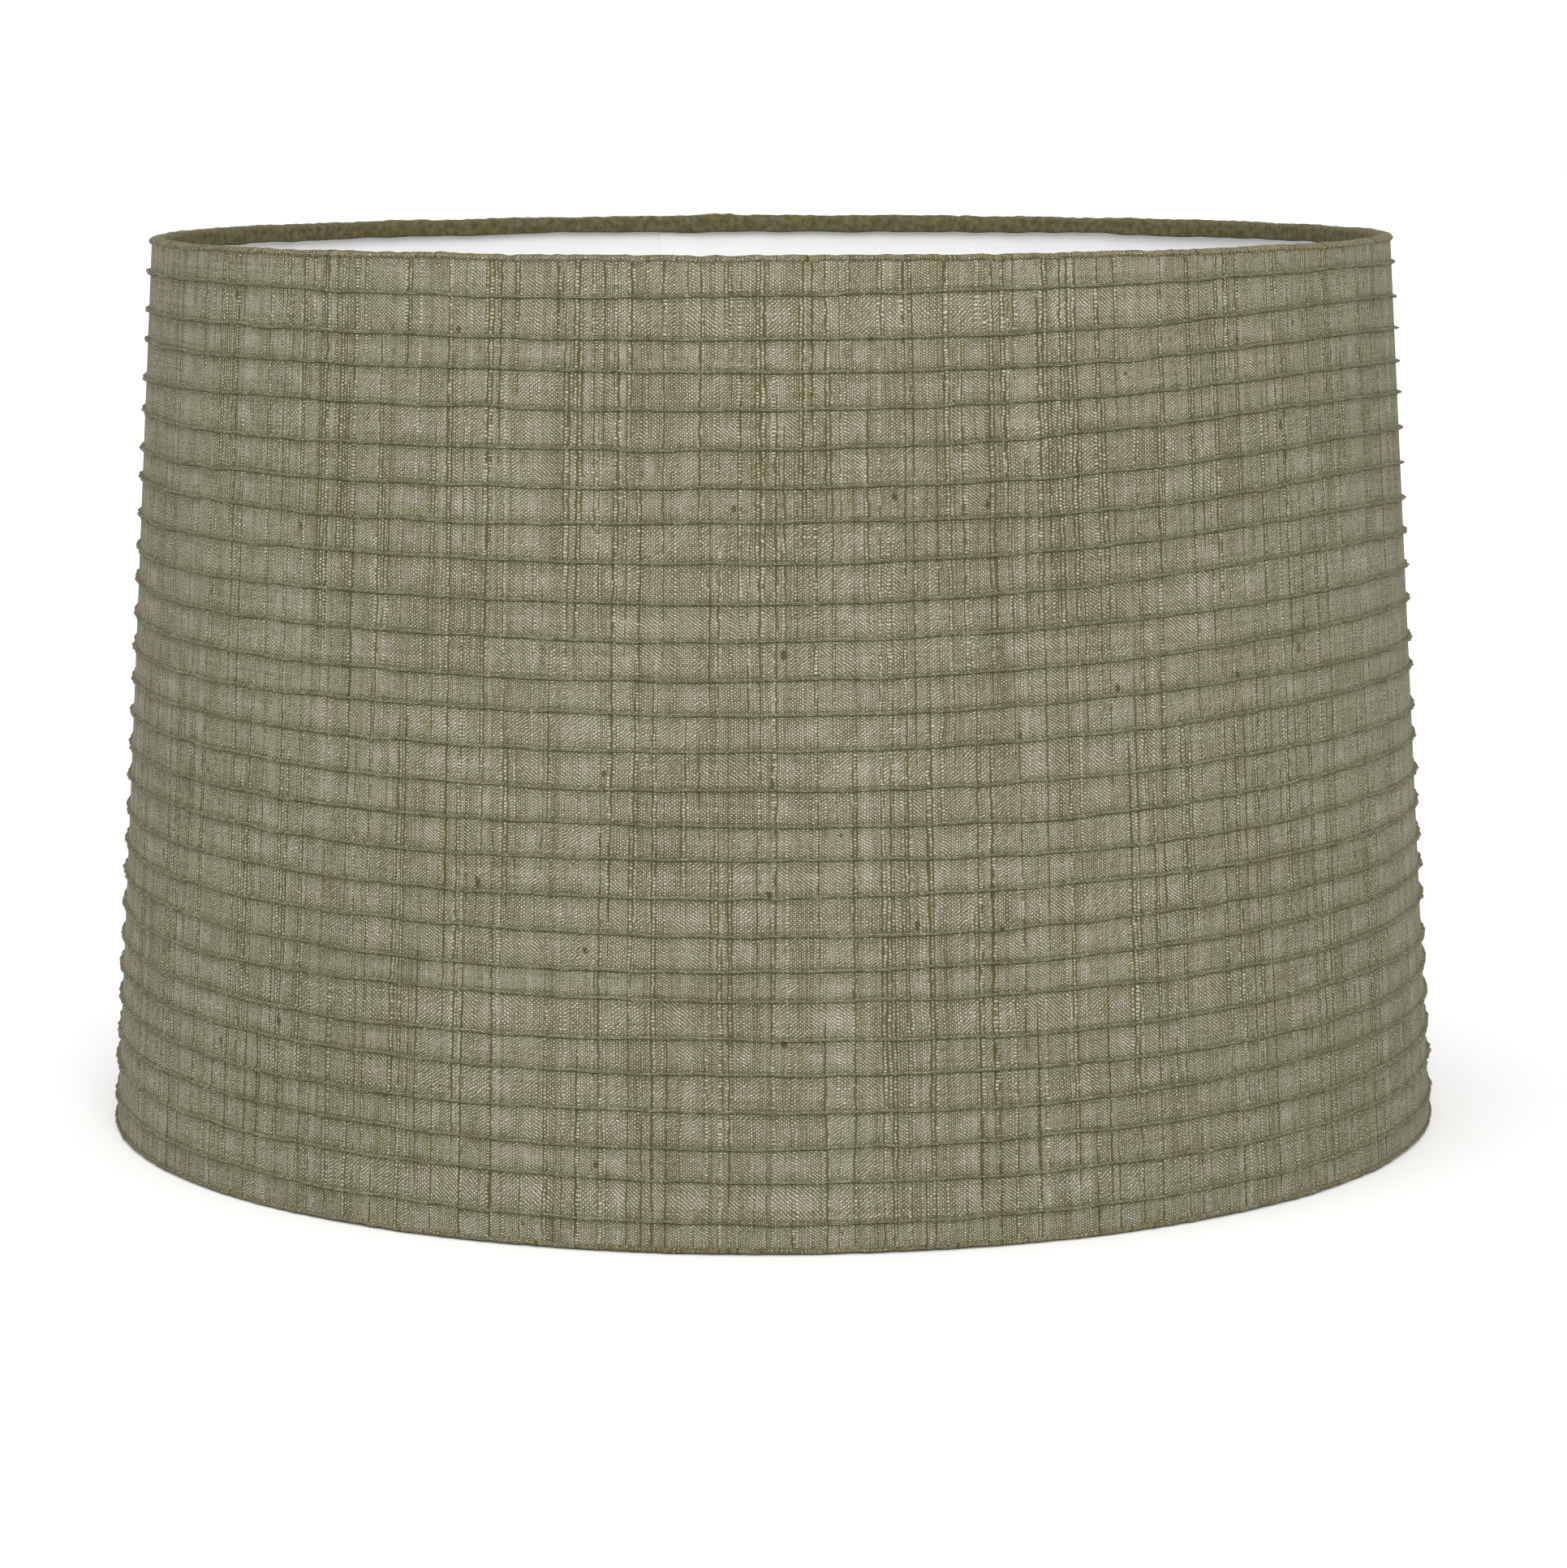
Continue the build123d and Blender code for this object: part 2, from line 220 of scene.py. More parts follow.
def cover_rows(angle):
    """The panel's rows from its bottom edge up, and their places on the flat cloth. A row has its columns'
    distances up the slope and off the wall, how folded the cloth is, and how far along the cloth, in
    millimetres, it is from the sewn line below and the sewn line above the nearest tuck."""
    turned = (angle + math.pi) % (2 * math.pi) - math.pi
    plain = np.ones_like(angle)
    tuck_mm = lengths_along([(up * MM, off * MM) for up, off, _ in TUCK_SECTION])
    from_lower = np.abs(tuck_mm - tuck_mm[LOWER_LINE_ROW])
    from_upper = np.abs(tuck_mm - tuck_mm[UPPER_LINE_ROW])
    rows = [(COVER_EDGE_DEPTH * plain, 0.0 * plain, 0.0, FAR_FROM_LINE, FAR_FROM_LINE)]
    section = [(COVER_EDGE_DEPTH, 0.0)]
    for share in np.linspace(0, 1, TUCK_COUNT):
        place = FIRST_TUCK + share * (LAST_TUCK - FIRST_TUCK) - TUCK_BOW * math.sin(math.pi * share)
        line = place + rng.normal() * TUCK_UNEVENNESS + pull(turned, place)
        line = line + ripple(angle, *TUCK_SWAG) + ripple(angle, *TUCK_WANDER)
        stand = 1 + ripple(angle, *TUCK_STAND_SPREAD)
        lean = ripple(angle, *TUCK_LEAN)
        for (up, off, folded), below, above in zip(TUCK_SECTION, from_lower, from_upper):
            rows.append((line + (up * MM + lean * folded), off * MM * stand, folded, below, above))
            section.append((place + up * MM, off * MM))
    top = SLOPE_LENGTH - COVER_EDGE_DEPTH
    rows.append((top * plain, 0.0 * plain, 0.0, FAR_FROM_LINE, FAR_FROM_LINE))
    section.append((top, 0.0))
    return [np.array(column) for column in zip(*rows)], lengths_along(section)


def cover_cloth():
    """The tucked panel, as one sheet."""
    angle, seam_lift = cover_columns()
    (along, out, fold, below, above), up_mm = cover_rows(angle)
    points = wall(angle, along, out + seam_lift)
    round_mm = (angle - angle[0]) * MEAN_RADIUS / MM
    marks = {"fold": fold, "lower_line": below, "upper_line": above}
    piece = grid_piece("cover_cloth", points, round_mm, up_mm, **marks)
    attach(piece, "shade")
    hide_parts("cover")
    return piece


# ============================================================================================
# The trims: a strip of the same silk folded over each rim and tucked round its hoop
# ============================================================================================
# The strip's two cut edges, each in order from outside to inside. A point is millimetres past the
# strip's own depth, millimetres in from its outer or inner face, and how loose the cloth is.
TRIM_OUTER_EDGE = [(0.25, 0.75, 0.3), (0.18, 0.35, 0.5), (-0.15, 0.06, 0.7)]
TRIM_INNER_EDGE = [
    (-1.8, -0.02, 0.8),
    (-0.8, 0.0, 0.7),
    (-0.2, 0.22, 0.6),
    (0.0, 0.75, 0.5),
    (-0.1, 1.6, 0.3),
    (-0.2, 3.4, 0.0),
]


def trim_section():
    """The strip's section, from its outer edge over the rim to its inner edge: depth below the rim,
    distance off the wall, how loose it is, and how far inside it faces."""
    inner_face = TRIM_CENTRE - TRIM_HALF_WIDTH
    section = []
    for past, inwards, loose in TRIM_OUTER_EDGE:
        section.append((TRIM_DEPTH_OUTSIDE + past * MM, TRIM_STAND - inwards * MM, loose, 0.0))
    for step in range(TRIM_ARC_STEPS + 1):
        share = step / TRIM_ARC_STEPS
        depth = TRIM_RISE * (1 - math.sin(math.pi * share))
        section.append((depth, TRIM_CENTRE + TRIM_HALF_WIDTH * math.cos(math.pi * share), 1.0, share))
    for past, inwards, loose in TRIM_INNER_EDGE:
        section.append((TRIM_DEPTH_INSIDE + past * MM, inner_face + inwards * MM, loose, 1.0))
    return section


def trim_lap(angle, radius):
    """How much the strip's lapped ends swell it, at the back."""
    off_middle = np.abs(radius * np.cos(angle) - TRIM_LAP_X)
    return (1 - smooth_step(off_middle, TRIM_LAP_FLAT, TRIM_LAP_REACH)) * (np.sin(angle) > 0)


def trim_cloth(name, node, at_top):
    """A folded strip on the top or the bottom rim. The bottom one lies flat where it meets the floor."""
    angle = np.arange(TRIM_COLUMNS) * 2 * math.pi / TRIM_COLUMNS
    radius = TOP_RADIUS if at_top else BOTTOM_RADIUS
    section = trim_section()
    lumps = ripple(angle, *TRIM_LUMPS) + ripple(angle, *TRIM_FINE_LUMPS)
    outer_hem = ripple(angle, *TRIM_OUTER_HEM)
    inner_hem = ripple(angle, *TRIM_INNER_HEM)
    swell = trim_lap(angle, radius)
    middle = len(section) / 2
    along, out = [], []
    for row, (depth, off, loose, _) in enumerate(section):
        rim_share = max(0.0, 1 - depth / (2 * TRIM_RISE))
        hem = outer_hem * (1 - row / middle) if row < middle else inner_hem * (row / middle - 1)
        side = (off - TRIM_CENTRE) / TRIM_HALF_WIDTH
        low = depth + hem - (lumps + swell * TRIM_LAP_LIFT) * rim_share
        along.append(SLOPE_LENGTH - low if at_top else np.maximum(low, 0.0))
        out.append(off + (lumps * TRIM_LUMP_SPREAD + swell * TRIM_LAP_SPREAD) * side * loose)
    points = wall(angle, np.array(along), np.array(out))
    points[..., 2] = np.maximum(points[..., 2], 0.0)
    across_mm = lengths_along([row[:2] for row in section])
    inside = np.array([row[3] for row in section])
    if at_top:
        points, across_mm, inside = points[::-1], across_mm[::-1], inside[::-1]
    round_mm = np.arange(TRIM_COLUMNS + 1) * 2 * math.pi * radius / TRIM_COLUMNS / MM
    piece = grid_piece(name, points, round_mm, across_mm, closed=True, inside=inside)
    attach(piece, "shade")
    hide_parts(node)
    return piece


# ============================================================================================
# Shader nodes
# ============================================================================================
class Graph:
    """The shader nodes of one material, added one at a time."""

    def __init__(self, name):
        self.material = bpy.data.materials.new(name)
        self.material.use_nodes = True
        self.tree = self.material.node_tree
        self.tree.nodes.clear()
        self.shader = self.node("ShaderNodeBsdfPrincipled")
        output = self.node("ShaderNodeOutputMaterial")
        self.tree.links.new(self.shader.outputs["BSDF"], output.inputs["Surface"])

    def node(self, kind, **settings):
        node = self.tree.nodes.new(kind)
        for key, value in settings.items():
            setattr(node, key, value)
        return node

    def feed(self, socket, value):
        """Join value to a socket if it is another node's output, or else set it there."""
        if isinstance(value, bpy.types.NodeSocket):
            self.tree.links.new(value, socket)
        else:
            socket.default_value = value

    def math(self, operation, *values, clamp=False):
        node = self.node("ShaderNodeMath", operation=operation, use_clamp=clamp)
        for socket, value in zip(node.inputs, values):
            self.feed(socket, value)
        return node.outputs[0]

    def add(self, *values):
        total = values[0]
        for value in values[1:]:
            total = self.math("ADD", total, value)
        return total

    def times(self, *values):
        product = values[0]
        for value in values[1:]:
            product = self.math("MULTIPLY", product, value)
        return product

    def vector(self, x, y, z=0.0):
        node = self.node("ShaderNodeCombineXYZ")
        for socket, value in zip(node.inputs, (x, y, z)):
            self.feed(socket, value)
        return node.outputs[0]

    def step(self, value, low, high, to_low=0.0, to_high=1.0):
        """A smooth step from to_low, at low, to to_high, at high."""
        node = self.node("ShaderNodeMapRange", interpolation_type="SMOOTHSTEP")
        for key, item in zip(("Value", "From Min", "From Max", "To Min", "To Max"),
                             (value, low, high, to_low, to_high)):
            self.feed(node.inputs[key], item)
        return node.outputs["Result"]

    def ramp(self, value, at_0, at_1):
        """A straight ramp from at_0, where value is 0, to at_1, where it is 1."""
        return self.math("MULTIPLY_ADD", value, at_1 - at_0, at_0)

    def spread(self, value, amount):
        """1 plus or minus amount, from a value between 0 and 1."""
        return self.ramp(value, 1 - amount, 1 + amount)

    def noise(self, vector, scale=1.0, detail=2.0, roughness=0.5):
        node = self.node("ShaderNodeTexNoise")
        self.feed(node.inputs["Vector"], vector)
        node.inputs["Scale"].default_value = scale
        node.inputs["Detail"].default_value = detail
        node.inputs["Roughness"].default_value = roughness
        return node.outputs["Fac"]

    def random(self, x, y, z=0.0):
        """A random value between 0 and 1, the same wherever x, y and z are the same."""
        node = self.node("ShaderNodeTexWhiteNoise", noise_dimensions="3D")
        self.feed(node.inputs["Vector"], self.vector(x, y, z))
        return node.outputs["Value"]

    def mix(self, share, first, second):
        node = self.node("ShaderNodeMix", data_type="RGBA")
        self.feed(node.inputs[0], share)
        self.feed(node.inputs[6], first)
        self.feed(node.inputs[7], second)
        return node.outputs[2]

    def mix_value(self, share, first, second):
        node = self.node("ShaderNodeMix", data_type="FLOAT")
        for socket, value in zip(node.inputs[:1] + node.inputs[2:4], (share, first, second)):
            self.feed(socket, value)
        return node.outputs[0]

    def mark(self, name):
        return self.node("ShaderNodeAttribute", attribute_name=name).outputs["Fac"]

    def bump(self, height, distance, strength=1.0):
        node = self.node("ShaderNodeBump")
        self.feed(node.inputs["Height"], height)
        node.inputs["Distance"].default_value = distance
        node.inputs["Strength"].default_value = strength
        self.tree.links.new(node.outputs["Normal"], self.shader.inputs["Normal"])

    def finish(self, colour, roughness, **fixed):
        self.feed(self.shader.inputs["Base Color"], colour)
        self.feed(self.shader.inputs["Roughness"], roughness)
        for name, value in fixed.items():
            self.shader.inputs[name.replace("_", " ").title().replace("Ior", "IOR")].default_value = value
        return self.material


def linear(red, green, blue):
    """A colour given as it looks on a screen, 0 to 255, as the shader's linear values."""
    shares = [value / 255 for value in (red, green, blue)]
    return [s / 12.92 if s < 0.04045 else ((s + 0.055) / 1.055) ** 2.4 for s in shares] + [1.0]


# ============================================================================================
# The weave. u and v are a point's place on the flat cloth, round the shade and up it, in millimetres
# ============================================================================================
# The pitch round the shade of the yarns that run up it, and up it of the yarns that run round.
YARN_PITCH_ROUND = 0.60
YARN_PITCH_UP = 0.437
KNUCKLE_EDGE = (0.04, 0.85)

# Random patterns over the flat cloth. Each has its waves a millimetre round the shade and up it, a
# seed, and its number of finer layers. GAP_RUN has its waves a yarn in place of the first.
DRIFT = (0.10, 0.03, 0.0, 1.0)
UNEVEN = (0.42, 0.008, 7.0, 1.0)
JOSTLE = (0.8, 0.8, 17.0, 1.0)
SWAY = (0.12, 0.22, 19.0, 2.0)
SLACK = (0.035, 0.28, 3.0, 2.0)
TWIST = (0.055, 0.03, 43.0, 1.0)
LIVELY = (0.012, 0.012, 5.0, 1.0)
FRAY = (0.7, 0.25, 29.0, 2.0)
SLUB_BANDS = (0.48, 0.006, 11.0, 1.0)
GAP_RUN = (7.3, 0.035, 23.0, 4.0)
BROAD = (0.03, 0.003, 31.0, 2.0)
STREAKY = (0.5, 0.02, 37.0, 2.0)
CLOUDY = (0.17, 0.17, 41.0, 3.0)
GRAIN = (2.4, 2.8, 51.0, 1.0)
# A jitter of the sewn lines' places, which gives the painted tuck shadows ragged edges.
SEWN_LINE_JITTER = (0.9, 1.0, 61.0, 2.0)
SHADOW_PATCHES = (0.12, 0.3, 67.0, 2.0)
# Where the painted sheen falls.
SHEEN_PATCHES = (0.14, 0.024, 71.0, 2.0)
BRUSHED = (2.5, 0.8, 13.0, 2.0)

# How far the patterns move the yarns off their straight lines, in millimetres.
DRIFT_SHIFT = 1.2
UNEVEN_SHIFT = 1.6
JOSTLE_SHIFT = 0.55
SWAY_SHIFT = 0.7
SLACK_SHIFT = 0.9
FRAY_SHIFT = 1.1

# The plain weave: its tones, how much they vary, and how far the diagonal leans.
PLAIN_GAP_TONE = 0.11
PLAIN_YARN_TONE = 0.22
PLAIN_BEAD_TONE = 0.79
PLAIN_BEAD_SPREAD = 0.60
PLAIN_LIVELY_SPREAD = 0.35
PLAIN_SQUEEZE = 3.2
PLAIN_LOW_HEIGHT = 0.3
DIAGONAL_SLANT = 4.4
DIAGONAL_TURNS = (0.40, 0.60)

# The slubs: strings of long beads. Below and above are their tones where they pass under and over.
STRING_PITCH = 1.2
STRING_SQUEEZE = (5.5, 1.6)
STRING_GAP_TONE = 0.05
STRING_TONE_BELOW = 0.24
STRING_TONE_ABOVE = 0.94
STRING_BETWEEN_TONE = 0.14
STRING_BEAD_SPREAD = 0.60
STRING_LIVELY_SPREAD = 0.40
SLUB_FRAY = 0.10
SLUB_EDGE = (0.595, 0.635)
SLUB_HEIGHT = 0.6

# The chains of dark gaps.
GAP_YARN_SHARE = 0.24
GAP_EDGE = (0.42, 0.60)
GAP_WEAKER_LINK = 0.25
GAP_LEAVES = 0.56
GAP_DEPTH = 0.4

# The beads along the top of a tuck, where the cloth is folded over.
RIDGE_BEAD_PITCH = 1.0
RIDGE_ROW_PITCH = 0.62
RIDGE_ROW_STAGGER = 0.4
RIDGE_SQUEEZE = (2.6, 3.6)
RIDGE_GAP_TONE = 0.07
RIDGE_ROLL_TONE = 0.42
RIDGE_BEAD_TONE = 0.20
RIDGE_BEAD_SPREAD = 0.70

# How much the tone varies from yarn to yarn, and with each pattern. The yarns that run round have a
# new tone after each length, in millimetres.
UPRIGHT_YARN_SPREAD = 0.18
ROUND_YARN_SPREAD = 0.14
ROUND_YARN_LENGTH = 50
PATTERN_SPREADS = [(BROAD, 0.12), (STREAKY, 0.24), (CLOUDY, 0.26), (GRAIN, 0.80)]


def cloth_place(graph):
    """Where a point is on the flat cloth: u and v."""
    texture = graph.node("ShaderNodeUVMap", uv_map="Cloth")
    parts = graph.node("ShaderNodeSeparateXYZ")
    graph.feed(parts.inputs[0], texture.outputs[0])
    return parts.outputs[0], parts.outputs[1]


def patches(graph, u, v, pattern):
    """A random pattern's value on the flat cloth, between 0 and 1."""
    waves_round, waves_up, seed, detail = pattern
    place = graph.vector(graph.times(u, waves_round), graph.times(v, waves_up), seed)
    return graph.noise(place, detail=detail)


def cell(graph, place, pitch):
    """The number of the yarn that a place falls on, and how far it is from that yarn's middle."""
    share = graph.math("DIVIDE", place, pitch)
    return graph.math("FLOOR", share), graph.math("SUBTRACT", graph.math("FRACT", share), 0.5)


def every_other(graph, *numbers):
    """0 where the numbers add up to an even number and 1 where they add up to an odd one."""
    return graph.math("FLOORED_MODULO", graph.add(*numbers), 2.0)


def knuckle(graph, off_u, off_v, squeeze_u, squeeze_v, slant=0.0):
    """The round top of a yarn as it passes over another, drawn out along a diagonal by its slant."""
    spot = graph.add(
        graph.times(off_u, off_u, squeeze_u),
        graph.times(off_v, off_v, squeeze_v),
        graph.times(off_u, off_v, slant),
    )
    return graph.step(spot, *KNUCKLE_EDGE, 1.0, 0.0)


class Yarns:
    """The yarns that a point falls on. across is its place round the shade, yarn_u and yarn_v are the
    numbers of its two yarns, and off_u and off_v how far it is from their middles."""

    def __init__(self, graph, u, v):
        jostle = patches(graph, u, v, JOSTLE)
        self.across = graph.add(
            u,
            graph.times(patches(graph, u, v, DRIFT), DRIFT_SHIFT),
            graph.times(patches(graph, u, v, UNEVEN), UNEVEN_SHIFT),
            graph.times(jostle, JOSTLE_SHIFT),
            graph.times(patches(graph, u, v, SWAY), SWAY_SHIFT),
        )
        slack = patches(graph, u, v, SLACK)
        upward = graph.add(v, graph.times(slack, SLACK_SHIFT), graph.times(jostle, -JOSTLE_SHIFT))
        self.yarn_u, self.off_u = cell(graph, self.across, YARN_PITCH_ROUND)
        self.yarn_v, self.off_v = cell(graph, upward, YARN_PITCH_UP)


def plain_weave(graph, u, v, yarns, lively):
    """A bright bead wherever a yarn that runs round passes over one that runs up: tone, beads, height."""
    over = every_other(graph, yarns.yarn_u, yarns.yarn_v)
    slant = graph.step(patches(graph, u, v, TWIST), *DIAGONAL_TURNS, -DIAGONAL_SLANT, DIAGONAL_SLANT)
    top = knuckle(graph, yarns.off_u, yarns.off_v, PLAIN_SQUEEZE, PLAIN_SQUEEZE, slant)
    each_bead = graph.random(yarns.yarn_u, yarns.yarn_v, 2.0)
    bead = graph.times(top, over, graph.spread(each_bead, PLAIN_BEAD_SPREAD))
    tone = graph.add(
        PLAIN_GAP_TONE,
        graph.times(top, PLAIN_YARN_TONE),
        graph.times(bead, PLAIN_BEAD_TONE, graph.spread(lively, PLAIN_LIVELY_SPREAD)),
    )
    return tone, bead, graph.times(top, graph.ramp(over, PLAIN_LOW_HEIGHT, 1.0))


def slub_strings(graph, u, v, yarns, lively):
    """Slubs, the thick yarns that run up the cloth as strings of beads: where they are, tone, height."""
    fray = patches(graph, u, v, FRAY)
    string, off_string = cell(graph, graph.add(yarns.across, graph.times(fray, FRAY_SHIFT)), STRING_PITCH)
    over = every_other(graph, string, yarns.yarn_v)
    top = knuckle(graph, off_string, yarns.off_v, *STRING_SQUEEZE)
    each_bead = graph.random(string, yarns.yarn_v, 4.0)
    between = graph.times(graph.math("SUBTRACT", 1.0, over), graph.math("SUBTRACT", 1.0, top))
    bead = graph.times(
        top,
        graph.ramp(over, STRING_TONE_BELOW, STRING_TONE_ABOVE),
        graph.spread(lively, STRING_LIVELY_SPREAD),
        graph.spread(each_bead, STRING_BEAD_SPREAD),
    )
    tone = graph.add(STRING_GAP_TONE, bead, graph.times(between, STRING_BETWEEN_TONE))
    band = graph.add(patches(graph, u, v, SLUB_BANDS), graph.times(fray, SLUB_FRAY))
    slub = graph.step(band, *SLUB_EDGE)
    return slub, tone, graph.times(slub, top, SLUB_HEIGHT)


def gap_chains(graph, v, yarns):
    """Chains of dark gaps, one yarn wide, that come and go up the cloth."""
    chosen = graph.math("LESS_THAN", graph.random(yarns.yarn_u, 9.5), GAP_YARN_SHARE)
    run = graph.step(patches(graph, yarns.yarn_u, v, GAP_RUN), *GAP_EDGE)
    return graph.times(chosen, run, graph.ramp(every_other(graph, yarns.yarn_v), GAP_WEAKER_LINK, 1.0))


def tuck_ridge(graph, yarns, bead, ridge_v):
    """The tone of the folded cloth along a tuck, whose beads are larger. ridge_v is the place up it."""
    row, off_row = cell(graph, ridge_v, RIDGE_ROW_PITCH)
    staggered = graph.add(yarns.across, graph.times(row, RIDGE_ROW_STAGGER))
    ridge_bead, off_bead = cell(graph, staggered, RIDGE_BEAD_PITCH)
    each_bead = graph.random(ridge_bead, row, yarns.yarn_v)
    roll = graph.times(
        knuckle(graph, off_bead, off_row, *RIDGE_SQUEEZE), graph.spread(each_bead, RIDGE_BEAD_SPREAD)
    )
    return graph.add(RIDGE_GAP_TONE, graph.times(roll, RIDGE_ROLL_TONE), graph.times(bead, RIDGE_BEAD_TONE))


def unevenness(graph, u, v, yarns):
    """The factors by which the tone varies, from yarn to yarn and over the cloth."""
    each_u = graph.random(yarns.yarn_u, 0.5)
    each_v = graph.random(0.5, yarns.yarn_v, graph.math("FLOOR", graph.times(u, 1 / ROUND_YARN_LENGTH)))
    factors = [graph.spread(each_u, UPRIGHT_YARN_SPREAD), graph.spread(each_v, ROUND_YARN_SPREAD)]
    for pattern, amount in PATTERN_SPREADS:
        factors.append(graph.spread(patches(graph, u, v, pattern), amount))
    return factors


def silk_weave(graph, u, v, ridge=None, ridge_v=None):
    """Plain-woven slub silk: its tone, from 0 in the gaps to 1 on the brightest yarns, its height, and
    where its slubs are. ridge is where the cloth is folded into a tuck."""
    yarns = Yarns(graph, u, v)
    lively = patches(graph, u, v, LIVELY)
    plain, bead, plain_height = plain_weave(graph, u, v, yarns, lively)
    slub, strung, slub_height = slub_strings(graph, u, v, yarns, lively)
    gap = gap_chains(graph, v, yarns)
    tone = graph.mix_value(slub, plain, strung)
    if ridge is not None:
        tone = graph.mix_value(ridge, tone, tuck_ridge(graph, yarns, bead, ridge_v))
    tone = graph.times(tone, *unevenness(graph, u, v, yarns), graph.ramp(gap, 1.0, GAP_LEAVES))
    return tone, graph.add(plain_height, slub_height, graph.times(gap, -GAP_DEPTH)), slub


# ============================================================================================
# The silk of the cover and of the trims
# ============================================================================================
SILK_DEEP = [0.044, 0.038, 0.003, 1.0]
# Painted sheen: the greyer dark colour of the pale patches.
SILK_DEEP_SHEEN = [0.068, 0.060, 0.028, 1.0]
SILK_PALE = [0.402, 0.386, 0.286, 1.0]
# Painted sheen: the greyer pale colour of the pale patches.
SILK_SHEEN = [0.492, 0.460, 0.388, 1.0]
SILK_WARM = [0.446, 0.382, 0.265, 1.0]
SILK_NEP = linear(66, 60, 36)
SILK_ROUGHNESS = 0.78
SILK_BRIGHT_ROUGHNESS = 0.66
SILK_SPECULAR = 0.05
WEAVE_BUMP = 0.10 * MM
WEAVE_BUMP_STRENGTH = 0.6

# The neps: one patch of cloth for each that there may be, in millimetres, and sizes as shares of it.
NEP_PATCH_ROUND = 34
NEP_PATCH_UP = 60
NEP_SHARE_MISSING = 0.30
NEP_SIZES = (0.013, 0.027)
NEP_EDGE = (0.6, 1.15)
NEP_RAGGED_ROUND = 2.4
NEP_RAGGED_UP = -2.6
NEP_COVER = 0.85
NEP_HEIGHT = 2.0

# Painted shadows along the sewn lines: full up to one distance, gone at the next, in millimetres, and how
# dark.
UNDER_TUCK_SHADOW = (0.28, 0.60, 0.56)
OVER_TUCK_SHADOW = (0.25, 0.75, 0.30)
SHADOW_HALO = (0.4, 1.7, 0.10)
DARKEST_SHADOW = 0.85
UNDER_TUCK_SPREAD = 0.45
OVER_TUCK_SPREAD = 0.80
SEWN_LINE_JITTER_SHIFT = 0.30
RIDGE_FOLD = (0.55, 0.85)
RIDGE_START = 0.70

# Painted sheen: pale, greyer patches on the flat cloth between the tucks and off the slubs.
SHEEN_EDGE = (0.43, 0.66)
SHEEN_STRENGTH = 0.88
FLAT_CLOTH = (0.7, 2.0)

# The trims: darker outside, and brushed inside.
TRIM_OUTSIDE_TONE = 0.84
TRIM_INSIDE_TONES = (0.02, 0.20)
TRIM_MOTTLE_EDGE = (0.30, 0.72)
TRIM_MOTTLE_HEIGHT = 1.5
TRIM_STAIN_EDGE = (0.38, 0.62)
TRIM_INSIDE_STREAK = 0.05
TRIM_INSIDE_WEAVE = 0.07
TRIM_FACES_INSIDE = (0.45, 0.75)


def neps(graph, u, v):
    """Small dark knots in the yarn, at most one in every patch of the cloth."""
    ragged = graph.noise(graph.vector(u, v, 5.0), scale=1.4, detail=3.0)
    place = graph.vector(
        graph.times(graph.add(u, graph.times(ragged, NEP_RAGGED_ROUND)), 1 / NEP_PATCH_ROUND),
        graph.times(graph.add(v, graph.times(ragged, NEP_RAGGED_UP)), 1 / NEP_PATCH_UP),
    )
    cells = graph.node("ShaderNodeTexVoronoi", voronoi_dimensions="2D", feature="F1")
    graph.feed(cells.inputs["Vector"], place)
    cells.inputs["Scale"].default_value = 1.0
    parts = graph.node("ShaderNodeSeparateColor")
    graph.feed(parts.inputs[0], cells.outputs["Color"])
    present = graph.math("GREATER_THAN", parts.outputs[0], NEP_SHARE_MISSING)
    size = graph.ramp(parts.outputs[1], *NEP_SIZES)
    near = graph.step(graph.math("DIVIDE", cells.outputs["Distance"], size), *NEP_EDGE, 1.0, 0.0)
    return graph.times(near, present)


def sewn_shadows(graph, u, v, lower, upper):
    """How much painted shadow darkens the cloth under a tuck, over it and all round it."""
    patchy = patches(graph, u, v, SHADOW_PATCHES)
    under = graph.times(graph.step(lower, *UNDER_TUCK_SHADOW, 0.0), graph.spread(patchy, UNDER_TUCK_SPREAD))
    over = graph.times(graph.step(upper, *OVER_TUCK_SHADOW, 0.0), graph.spread(patchy, OVER_TUCK_SPREAD))
    halo = graph.step(lower, *SHADOW_HALO, 0.0)
    return graph.math("MINIMUM", graph.add(under, over, halo), DARKEST_SHADOW)


def painted_sheen(graph, u, v, lower, upper, slub):
    """Painted sheen: where the flat cloth is paler and greyer, as if it caught the light."""
    sheen = graph.step(patches(graph, u, v, SHEEN_PATCHES), *SHEEN_EDGE)
    flat_cloth = graph.step(graph.math("MINIMUM", lower, upper), *FLAT_CLOTH)
    return graph.times(sheen, flat_cloth, graph.step(slub, 0.0, 1.0, SHEEN_STRENGTH, 0.0))


